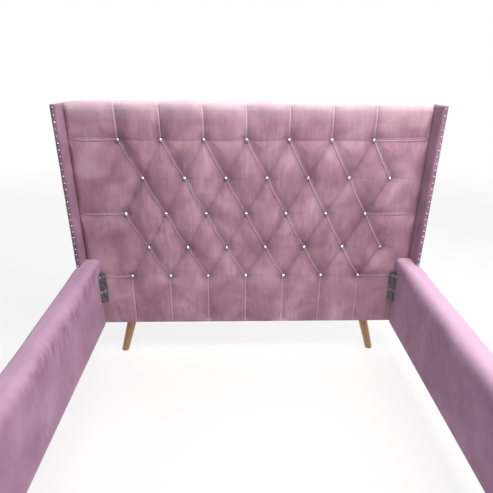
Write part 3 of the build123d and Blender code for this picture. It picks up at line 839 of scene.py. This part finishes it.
def give(tree, node, settings):
    """Gives a shader node its settings and links.

    A setting's key is a property's name, or a socket's name or number. Its value is a plain one, or another
    node's output, which is then linked. "stops" are the places and hex colours of a colour ramp.
    """
    for key, value in settings.items():
        if key == "stops":
            elements = node.color_ramp.elements
            while len(elements) < len(value):
                elements.new(0.5)
            for element, (position, code) in zip(elements, value):
                element.position = position
                element.color = linear(code)
        elif not isinstance(key, int) and key not in node.inputs:
            setattr(node, key, value)
        elif hasattr(value, "is_output"):
            tree.links.new(value, node.inputs[key])
        else:
            node.inputs[key].default_value = value


def add(tree, kind, settings, output=0):
    """Adds a shader node with its settings and links, and gives back one of its outputs."""
    node = tree.nodes.new("ShaderNode" + kind)
    give(tree, node, settings)
    return node.outputs[output]


def new_material(name, settings):
    """Material with its one shader and that shader's settings, and the tree to add its pattern to."""
    material = bpy.data.materials.new(name)
    material.use_nodes = True
    tree = material.node_tree
    shader = tree.nodes["Principled BSDF"]
    give(tree, shader, settings)
    return material, tree, shader


patch_size = 0.160
patch_start = (0.31, 0, 0.17)
streak_width = 0.020
streak_share = 0.27
weave_pitch = 0.009
tuft_lines = 0.10
board_lines = 0.06
speckle_size = 0.0045
speckle_share = 0.08
finger_width = 0.032


def velvet(name, dark, middle, light, streak=0.6, blotch=0.55, tufted=False, board=False):
    """Polyester velvet, woven and cut to a pile about 1 mm long.

    It is matt from above, and pale where the pile is seen from its side. Brushed marks, in patches about
    160 mm across and upright streaks about 20 mm wide, are pile that leans another way. The weave under the
    pile shows as fine upright lines, here 9 mm apart, because the real ones are too fine to show. The fine
    patterns are turned, so that no face of the bed lies in the planes of their noise.
    """
    material, tree, shader = new_material(name, {
        "Roughness": 0.92, "IOR": 1.45, "Specular IOR Level": 0.15, "Sheen Weight": 0.30,
        "Sheen Roughness": 0.35, "Sheen Tint": linear("#F8EAF3")})
    place = add(tree, "TexCoord", {}, "Object")
    shifted = add(tree, "Mapping", {"Vector": place, "Location": patch_start})
    patches = add(tree, "TexNoise", {"Vector": shifted, "Scale": 1 / patch_size, "Distortion": 0.5})
    drawn_up = add(tree, "Mapping", {"Vector": place, "Scale": (1.0, 1.0, 0.22)})
    streaks = add(tree, "TexNoise", {"Vector": drawn_up, "Scale": 1 / streak_width, "Detail": 3.0,
                                     "Roughness": 0.6, "Distortion": 0.5})
    turned = add(tree, "Mapping", {"Vector": place, "Scale": (1.0, 1.0, 0.08), "Rotation": (0.0, 0.0, 0.65)})
    lines = add(tree, "TexNoise", {"Vector": turned, "Scale": 1 / weave_pitch})
    tipped = add(tree, "Mapping", {"Vector": place, "Rotation": (0.5, 0.3, 0.65)})
    speckle = add(tree, "TexNoise", {"Vector": tipped, "Scale": 1 / speckle_size, "Roughness": 0.6})
    nap = add(tree, "Math", {"operation": "MULTIPLY", 0: speckle, 1: speckle_share})
    for pattern, share in ((lines, board_lines if board else tuft_lines), (streaks, streak_share * streak),
                           (patches, blotch)):
        nap = add(tree, "Math", {"operation": "MULTIPLY_ADD", 0: pattern, 1: share, 2: nap})
    usual = 0.5 * (blotch + streak_share * streak + tuft_lines + speckle_share)
    lean = add(tree, "MapRange", {0: nap, 1: usual - 0.16, 2: usual + 0.16})
    colour = add(tree, "ValToRGB", {"Fac": lean, "stops": [(0.0, dark), (0.5, middle), (1.0, light)]})
    tints = tuft_tints(tree, place, streaks) if tufted else []
    if board:
        tints = top_highlight_and_finger_tints(tree)
    if tufted or board:
        shaded = add(tree, "Attribute", {"attribute_name": "shaded"}, "Fac")
        tints.append((add(tree, "MapRange", {0: shaded, 1: 0.80, 2: 0.98, 4: 0.85}), "#2C2330"))
    for share, code in tints:
        colour = add(tree, "Mix", {"data_type": "RGBA", 0: share, 6: colour, 7: linear(code)}, 2)
    pile = add(tree, "Mix", {0: 0.5, 2: speckle, 3: streaks})
    bump = add(tree, "Bump", {"Strength": 0.3, "Distance": 0.0012, "Height": pile})
    give(tree, shader, {"Base Color": colour, "Normal": bump})
    return material


def tuft_tints(tree, place, streaks):
    """Tints of the tufted velvet, as how much of each and its colour.

    In turn: streaks brushed upwards near its foot, painted shade deep in the wells and creases, a painted
    highlight on the top roll, painted highlights on the pleats' lips and painted shade in their slits and
    creases.
    """
    depth = add(tree, "Attribute", {"attribute_name": "depth"}, "Fac")
    fold = add(tree, "Attribute", {"attribute_name": "fold"}, "Fac")
    height = add(tree, "SeparateXYZ", {"Vector": place}, "Z")
    near_foot = add(tree, "MapRange", {0: height, 1: 0.50, 2: 0.36})
    brushed = add(tree, "MapRange", {0: streaks, 1: 0.50, 2: 0.60, 4: 0.40})
    return [(add(tree, "Math", {"operation": "MULTIPLY", 0: near_foot, 1: brushed}), "#84607A"),
            # Painted shade, deepest in the wells and creases.
            (add(tree, "MapRange", {0: depth, 1: 8.0, 2: 20.5, 4: 0.50}), "#60445B"),
            # Painted highlight along the top roll.
            (add(tree, "MapRange", {0: height, 1: 1.265, 2: 1.348, 4: 0.50}), "#DACAD2"),
            # Painted highlight on the pleats' lips, then painted shade in their slits and in the creases
            # without pleats.
            (add(tree, "MapRange", {0: fold, 4: 0.95}), "#E6CCD8"),
            (add(tree, "MapRange", {0: fold, 2: -1.0, 4: 0.32}), "#5A3C4C")]


def top_highlight_and_finger_tints(tree):
    """Tints of a board's velvet: a painted highlight along the top, and darker finger marks below."""
    nap = add(tree, "Attribute", {"attribute_name": "nap"}, "Vector")
    down = add(tree, "SeparateXYZ", {"Vector": nap}, "Y")
    finger_marks_and_dim_highlight = add(tree, "SeparateXYZ", {"Vector": nap}, "Z")
    drawn_down = add(tree, "Mapping", {"Vector": nap, "Scale": (1.0, 0.30, 1.0)})
    fingers = add(tree, "TexNoise", {"Vector": drawn_down, "Scale": 1 / finger_width, "Detail": 3.0,
                                     "Roughness": 0.6, "Distortion": 0.3})
    along = add(tree, "Mapping", {"Vector": nap, "Scale": (1.0, 0.0, 1.0)})
    wander = add(tree, "TexNoise", {"Vector": along, "Scale": 1 / 0.26})
    ragged = add(tree, "MapRange", {0: fingers, 3: -0.055, 4: 0.055})
    reach = add(tree, "Math", {"operation": "MULTIPLY_ADD", 0: ragged, 1: finger_marks_and_dim_highlight, 2: down})
    uneven = add(tree, "MapRange", {0: wander, 3: -0.05, 4: 0.05})
    reach = add(tree, "Math", {"operation": "ADD", 0: reach, 1: uneven})
    # Painted highlight: a paler band along the top, weaker and more ragged where there are more finger marks.
    band = add(tree, "MapRange", {0: reach, 1: 0.040, 2: 0.110, 3: 1.0, 4: 0.0})
    strength = add(tree, "MapRange", {0: finger_marks_and_dim_highlight, 1: 0.2, 2: 1.0, 3: 0.85, 4: 0.45})
    pale = add(tree, "Math", {"operation": "MULTIPLY", 0: band, 1: strength})
    patchy = add(tree, "TexNoise", {"Vector": nap, "Scale": 1 / 0.40, "Detail": 1.0})
    marks = finger_marks_and_dim_highlight
    limits = [(down, 0.050, 0.085, 1.0), (down, 0.19, 0.10, 1.0), (patchy, 0.42, 0.60, 1.0),
              (fingers, 0.48, 0.62, 0.65)]
    for value, low, high, most in limits:
        share = add(tree, "MapRange", {0: value, 1: low, 2: high, 4: most})
        marks = add(tree, "Math", {"operation": "MULTIPLY", 0: marks, 1: share})
    return [(pale, "#BEA2BA"), (marks, "#7E5878")]


def wood(name, dark, light, grain="", gloss=0.45, coat=0.0):
    """Straight-grained wood, planed or turned: rings about 7 mm apart, drawn out along the grain, and pores.

    The pattern follows the piece's own attribute where one is named. A coat is its lacquer.
    """
    material, tree, shader = new_material(name, {"Roughness": gloss, "IOR": 1.5, "Coat Weight": coat,
                                                 "Coat Roughness": 0.22})
    if grain:
        place = add(tree, "Attribute", {"attribute_name": grain}, "Vector")
    else:
        place = add(tree, "TexCoord", {}, "Object")
    drawn = add(tree, "Mapping", {"Vector": place, "Scale": (1.0, 1.0, 0.07)})
    rings = add(tree, "TexNoise", {"Vector": drawn, "Scale": 1 / 0.007, "Detail": 3.0, "Roughness": 0.6,
                                   "Distortion": 1.2})
    pores = add(tree, "TexNoise", {"Vector": drawn, "Scale": 1 / 0.0012, "Roughness": 0.7})
    figure = add(tree, "Mix", {0: 0.25, 2: rings, 3: pores})
    tone = add(tree, "MapRange", {0: figure, 1: 0.34, 2: 0.66})
    colour = add(tree, "ValToRGB", {"Fac": tone, "stops": [(0.0, dark), (1.0, light)]})
    bump = add(tree, "Bump", {"Strength": 0.15, "Distance": 0.0004, "Height": figure})
    give(tree, shader, {"Base Color": colour, "Normal": bump})
    return material


def finished_steel(name, dark, light, rough):
    """Pressed steel, dull from its zinc or oxide bath: soft blotches about 15 mm across over fine grit."""
    material, tree, shader = new_material(name, {"Metallic": 0.9})
    place = add(tree, "TexCoord", {}, "Object")
    blotch = add(tree, "TexNoise", {"Vector": place, "Scale": 1 / 0.015, "Detail": 3.0, "Roughness": 0.6,
                                    "Distortion": 0.4})
    grit = add(tree, "TexNoise", {"Vector": place, "Scale": 1 / 0.0012, "Detail": 1.0})
    tone = add(tree, "MapRange", {0: blotch, 1: 0.35, 2: 0.65})
    colour = add(tree, "ValToRGB", {"Fac": tone, "stops": [(0.0, dark), (1.0, light)]})
    dullness = add(tree, "MapRange", {0: blotch, 1: 0.3, 2: 0.7, 3: rough - 0.08, 4: rough + 0.1})
    bump = add(tree, "Bump", {"Strength": 0.12, "Distance": 0.0002, "Height": grit})
    give(tree, shader, {"Base Color": colour, "Roughness": dullness, "Normal": bump})
    return material


def dust_cloth():
    """Spun-bonded polypropylene: thin black felt, rolled hot, which leaves a fine emboss about 2 mm apart."""
    material, tree, shader = new_material("spun_bonded_dust_cloth", {"Roughness": 0.9,
                                                                     "Specular IOR Level": 0.2})
    place = add(tree, "TexCoord", {}, "Object")
    fibres = add(tree, "TexNoise", {"Vector": place, "Scale": 1 / 0.002, "Detail": 3.0, "Roughness": 0.7})
    colour = add(tree, "ValToRGB", {"Fac": fibres, "stops": [(0.3, "#1B1A1C"), (0.7, "#2E2C30")]})
    bump = add(tree, "Bump", {"Strength": 0.3, "Distance": 0.0004, "Height": fibres})
    give(tree, shader, {"Base Color": colour, "Normal": bump})
    return material


def foiled_crystal():
    """Cut and polished glass on foil: nearly all light comes back, so facets are bright or dark all over."""
    material, tree, shader = new_material("foil_backed_crystal", {
        "Metallic": 0.75, "Roughness": 0.06, "Coat Weight": 1.0, "Coat Roughness": 0.02})
    place = add(tree, "TexCoord", {}, "Object")
    sparkle = add(tree, "TexNoise", {"Vector": place, "Scale": 1 / 0.004, "Detail": 1.0})
    stops = [(0.40, "#7B757E"), (0.50, "#DCD8DE"), (0.60, "#FFFFFF")]
    give(tree, shader, {"Base Color": add(tree, "ValToRGB", {"Fac": sparkle, "stops": stops})})
    return material


def plated_cup():
    """Brass cup, pressed and nickel-plated: bright, with a little grey where the plating thins."""
    material, tree, shader = new_material("nickel_plated_cup", {"Metallic": 1.0, "Roughness": 0.25})
    place = add(tree, "TexCoord", {}, "Object")
    wear = add(tree, "TexNoise", {"Vector": place, "Scale": 1 / 0.006})
    stops = [(0.3, "#8C868B"), (0.7, "#C4C0C3")]
    give(tree, shader, {"Base Color": add(tree, "ValToRGB", {"Fac": wear, "stops": stops})})
    return material


HEADBOARD_VELVET = velvet("velvet_headboard", "#8E6B81", "#A68292", "#BC9BA9", streak=0.9, blotch=0.75,
                          tufted=True)
RAIL_VELVET = velvet("velvet_boards", "#8E6D85", "#9C7B95", "#AB8BA4", board=True)
WING_VELVET = velvet("velvet_wings", "#806176", "#937286", "#A68698")
LEG_BEECH = wood("lacquered_beech", "#93693F", "#B98F5E", grain="grain", gloss=0.38, coat=0.3)
PINE = wood("planed_pine", "#B28A5B", "#D9B98C", gloss=0.7)
PLYWOOD = wood("birch_plywood", "#B8955F", "#D2B383", gloss=0.65)
DUST_CLOTH = dust_cloth()
CRYSTAL = foiled_crystal()
CUP = plated_cup()
BRACKET_STEEL = finished_steel("zinc_plated_bracket", "#74727E", "#9C9AA6", 0.42)
BOLT_STEEL = finished_steel("zinc_plated_bolt", "#A8A5A8", "#D0CED0", 0.3)
PLATE_STEEL = finished_steel("black_oxide_plate", "#1C1B1D", "#333135", 0.5)


# Pieces

def make_headboard():
    """Tufted padding, dark behind the brackets' leaves, where they keep the light off."""
    points, faces, depth, fold = headboard_padding()
    low, high = corners("corner_bracket_head_right")
    behind = window(np.abs(points[:, 0]), low[0] + 7, high[0], 2)
    behind = behind * window(points[:, 2], low[2] + 7, high[2] - 7, 2)
    piece = add_mesh("headboard_padding", points, faces, depth=depth, fold=fold, shaded=behind)
    finish(piece, HEADBOARD_VELVET, "velvet", "headboard_tufted_pad")


def make_wings():
    """Padded covers of both wings."""
    for side, words in SIDES:
        points, faces = wing_padding(side)
        piece = add_mesh("wing_padding_" + words, points, faces)
        finish(piece, WING_VELVET, "velvet", "wing_cover_" + words)


def make_boards():
    """Padded covers of side rails and footboard, dark where the brackets' leaves keep the light off."""
    for side, words in SIDES:
        points, faces, nap, pressed = rail_padding(side)
        piece = add_mesh("rail_padding_" + words, points, faces, nap=nap, shaded=pressed)
        finish(piece, RAIL_VELVET, "velvet", "rail_pad_" + words)
    points, faces, nap, pressed = footboard_padding()
    piece = add_mesh("footboard_padding", points, faces, nap=nap, shaded=pressed)
    finish(piece, RAIL_VELVET, "velvet", "footboard_pad")


def make_legs():
    """Four turned legs, each round the middle of its CAD node."""
    for end in ("head", "foot"):
        for side, words in SIDES:
            node = "leg_" + end + "_" + words
            low, high = corners(node)
            points, faces, grain = turned_leg(side, (low[1] + high[1]) / 2)
            piece = add_mesh("turned_" + node, points, faces, grain=grain)
            finish(piece, LEG_BEECH, "leg_wood", node)


stone_radius = 8.0
stone_height = 4.8
stud_stone_radius = 3.2
stud_stone_height = 3.0

# Outlines to turn, as distance towards the foot and radius: a cup with its shank, and the rim of a stud
CUP_OUTLINE = [(-14.0, 1.5), (-0.6, 1.5), (-0.6, 6.0), (0.4, 8.6), (2.6, 9.0), (3.3, 8.8), (3.4, 8.2),
               (2.9, 7.7), (2.0, 7.7)]
STUD_RIM_OUTLINE = [(-1.5, 3.1), (0.1, 4.4), (0.7, 4.3), (1.2, 3.8), (1.2, 3.3), (0.5, 3.1)]


def make_crystals():
    """Stones and cups of the buttons, and the small ones of the studs, each stone turned its own way."""
    rng = np.random.default_rng(7)
    back = crown_y + button_seat - cup_depth
    places = [(x, back, z) for x, z in BUTTONS]
    turns = rng.uniform(0, math.pi, len(places))
    points, faces = scattered(cut_crystal(stone_radius, stone_height), places, turns)
    piece = recalculated(add_mesh("tuft_crystal_stones", points, faces, smooth=False))
    finish(piece, CRYSTAL, "crystal", "tuft_crystals")
    cup = lathe(CUP_OUTLINE, 20)
    places = [(x, crown_y + button_seat, z) for x, z in BUTTONS]
    points, faces = scattered(cup, places)
    finish(recalculated(add_mesh("tuft_crystal_cups", points, faces)), CUP, "crystal_cup", "tuft_cups")
    x = (wing_low[0] + wing_high[0]) / 2
    for side, words in SIDES:
        places = [(side * x, wing_low[1] + 0.2, z) for z in stud_heights()]
        turns = rng.uniform(0, math.pi, len(places))
        stone = cut_crystal(stud_stone_radius, stud_stone_height)
        stones, faces = scattered(stone, [(a, b - 0.7, c) for a, b, c in places], turns)
        piece = recalculated(add_mesh("wing_stud_stones_" + words, stones, faces, smooth=False))
        finish(piece, CRYSTAL, "crystal", "wing_studs_" + words)
        cups, faces = scattered(lathe(STUD_RIM_OUTLINE, 14), places)
        piece = recalculated(add_mesh("wing_stud_cups_" + words, cups, faces))
        finish(piece, CUP, "crystal_cup", "wing_studs_" + words)


def add_lining(name, grid, thickness, node):
    """Stretched dust cloth from a grid of points, with its thickness on the hidden side."""
    piece = add_mesh(name, grid.reshape(-1, 3), grid_faces(*grid.shape[:2], flip=True))
    solid = piece.modifiers.new("thickness", "SOLIDIFY")
    solid.thickness = thickness * MM
    solid.offset = -1
    finish(piece, DUST_CLOTH, "dust_cloth", node)


sag_edge = 30.0
back_sag = 1.2
board_sag = 0.3


def make_linings():
    """Dust cloth under each board and over the headboard's back.

    At the back it is drawn in a little, in gentle waves, where no timber is behind it.
    """
    x = np.linspace(lining_low[0], lining_high[0], 200)
    z = np.linspace(lining_low[2], lining_high[2], 140)
    xx, zz = np.meshgrid(x, z)
    stile_low = corners("headboard_stile_right")[0]
    rails = [corners("headboard_" + words + "_rail") for words in ("bottom", "middle", "top")]
    inside = window(np.abs(xx), -1, stile_low[0] - 40, sag_edge)
    for lower_rail, upper_rail in zip(rails, rails[1:]):
        below, above = lower_rail[1], upper_rail[0]
        opening = window(zz, below[2] + 34, above[2] - 34, sag_edge)
        inside = np.where((zz > below[2]) & (zz < above[2]), inside * opening, inside)
    for low, high in rails:
        inside = inside * ((zz < low[2]) | (zz > high[2]))
    inside = inside * (zz > rails[0][1][2]) * (zz < rails[-1][0][2])
    inside = inside * (1 - window(np.abs(xx), *upright_places, sag_edge))
    y = lining_high[1] - 0.4 - inside * (back_sag + back_sag * swell(xx, zz, 260, 41))
    add_lining("back_dust_cloth", np.stack([xx, y, zz], -1), 0.6, "headboard_back_lining")
    for node, carrier in (("rail_lining_left", "rail_skins_left"), ("rail_lining_right", "rail_skins_right"),
                          ("footboard_lining", "footboard_skins")):
        low, high = corners(node)
        low, high = low - [2, 2, 0], high + [2, 2, 0]
        u = np.linspace(low[0], high[0], 12 if "rail" in node else 180)
        v = np.linspace(low[1], high[1], 200 if "rail" in node else 12)
        uu, vv = np.meshgrid(u, v)
        w = low[2] - 0.9 + board_sag * swell(uu, vv, 60, 43)
        add_lining("dust_cloth_" + node.replace("_lining", ""), np.stack([uu, vv, w], -1), 0.5, node)


def dress_nodes():
    """Materials for the CAD nodes that stay, found by a part of their names."""
    finishes = {"bracket_": BOLT_STEEL, "corner_bracket": BRACKET_STEEL, "leg_plate": PLATE_STEEL,
                "leg_bolts": BOLT_STEEL, "wing_screws": BOLT_STEEL, "skins": PLYWOOD, "panel": PLYWOOD,
                "wing_board": PLYWOOD, "battens": PINE, "stile": PINE, "headboard_bottom": PINE,
                "headboard_middle": PINE, "headboard_top": PINE, "uprights": PINE}
    for node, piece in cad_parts.items():
        for words, material in finishes.items():
            if words in node:
                piece.data.materials.clear()
                piece.data.materials.append(material)


# Stage

def make_stage():
    """Pale floor that shows white to the camera and keeps the bed's soft shadow."""
    half = 30.0
    mesh = bpy.data.meshes.new("studio_floor")
    corner_places = [(-half, -half, 0), (half, -half, 0), (half, half, 0), (-half, half, 0)]
    mesh.from_pydata(corner_places, [], [(0, 1, 2, 3)])
    floor = bpy.data.objects.new("studio_floor", mesh)
    bpy.context.scene.collection.objects.link(floor)
    material, tree, shader = new_material("pale_studio_floor", {
        "Roughness": 0.95, "Base Color": linear("#F2F0F1"), "Specular IOR Level": 0.1})
    glow = add(tree, "Emission", {"Color": (1, 1, 1, 1), "Strength": 1.0})
    place = add(tree, "TexCoord", {}, "Object")
    distance = add(tree, "VectorMath", {"operation": "LENGTH", 0: place}, "Value")
    glowing = add(tree, "MapRange", {0: distance, 1: 2.0, 2: 6.0, 3: 0.75})
    to_camera = add(tree, "LightPath", {}, "Is Camera Ray")
    seen = add(tree, "Math", {"operation": "MULTIPLY", 0: to_camera, 1: glowing})
    blend = add(tree, "MixShader", {0: seen, 1: shader.outputs[0], 2: glow})
    give(tree, tree.nodes["Material Output"], {"Surface": blend})
    mesh.materials.append(material)


def make_world():
    """White studio: plain light on the bed, white to the camera and in reflections."""
    world = bpy.data.worlds.new("studio_light")
    bpy.context.scene.world = world
    world.use_nodes = True
    tree = world.node_tree
    background = tree.nodes["Background"]
    give(tree, background, {"Color": linear("#F4F1F5"), "Strength": 0.13})
    white = add(tree, "Background", {"Color": (1, 1, 1, 1), "Strength": 1.0})
    seen = add(tree, "LightPath", {}, "Is Camera Ray")
    for ray in ("Is Glossy Ray", "Is Transmission Ray"):
        seen = add(tree, "Math", {"operation": "MAXIMUM", 0: seen, 1: add(tree, "LightPath", {}, ray)})
    blend = add(tree, "MixShader", {0: seen, 1: background.outputs[0], 2: white})
    give(tree, tree.nodes["World Output"], {"Surface": blend})


def placed(right, up, back, place):
    """Matrix of a camera or lamp from its three directions and its place in metres."""
    columns = np.stack([right, up, back, place], 1)
    return Matrix([*columns.tolist(), [0, 0, 0, 1]])


def add_lamp(name, place, aim, size, watts, colour="#FFFFFF"):
    """Square soft lamp that faces a point, in metres."""
    light = bpy.data.lights.new(name, "AREA")
    light.size = size
    light.energy = watts
    light.color = linear(colour)[:3]
    lamp = bpy.data.objects.new(name, light)
    place, aim = np.array(place), np.array(aim)
    back = (place - aim) / np.linalg.norm(place - aim)
    side = np.cross([0, 0, 1], back)
    side = side / np.linalg.norm(side)
    up = np.cross(back, side)
    lamp.matrix_world = placed(side, up, back, place)
    bpy.context.scene.collection.objects.link(lamp)


def make_lights():
    """A window to the right of the photographer, and pale sky light from above, behind and both sides."""
    add_lamp("window_right", (0.9, 0.0, 2.75), (0.1, 1.0, 0.8), 1.1, 67, "#FFF8F4")
    add_lamp("sky_above", (-0.4, 0.2, 3.0), (-0.2, 1.0, 0.8), 1.2, 20)
    add_lamp("sky_behind", (0.0, 2.7, 3.0), (0.0, 0.6, 0.9), 2.8, 55)
    add_lamp("sky_right", (2.2, 1.3, 2.4), (0.6, -0.4, 0.5), 1.4, 38)
    add_lamp("soft_left", (-3.0, -1.6, 2.2), (0.2, 0.4, 0.5), 2.6, 2, "#EFF2FF")


# Camera, from a fit to the photograph

photo_width = 493.0
focal_pixels = 443.93
sensor_mm = 36.0
camera_place = (-67.2, crown_y - 2008.0, 1564.6)
camera_yaw = -0.0267
camera_pitch = 0.4220
camera_roll = 0.0075


def make_camera():
    """Camera at the photographer's place: turned about the vertical, tipped down and rolled a little."""
    data = bpy.data.cameras.new("photo_camera")
    data.sensor_width = sensor_mm
    data.lens = focal_pixels / photo_width * sensor_mm
    data.clip_end = 100
    cy, sy = math.cos(camera_yaw), math.sin(camera_yaw)
    cp, sp = math.cos(camera_pitch), math.sin(camera_pitch)
    cr, sr = math.cos(camera_roll), math.sin(camera_roll)
    right, ahead, up = np.array([cy, sy, 0]), np.array([-sy, cy, 0]), np.array([0, 0, 1])
    forward, tipped = cp * ahead - sp * up, cp * up + sp * ahead
    side, over = cr * right + sr * tipped, cr * tipped - sr * right
    camera = bpy.data.objects.new("photo_camera", data)
    camera.matrix_world = placed(side, over, -forward, np.array(camera_place) * MM)
    bpy.context.scene.collection.objects.link(camera)
    bpy.context.scene.camera = camera


bpy.context.scene.view_settings.view_transform = "Standard"
make_headboard()
make_wings()
make_boards()
make_legs()
make_crystals()
make_linings()
dress_nodes()
make_stage()
make_world()
make_lights()
make_camera()
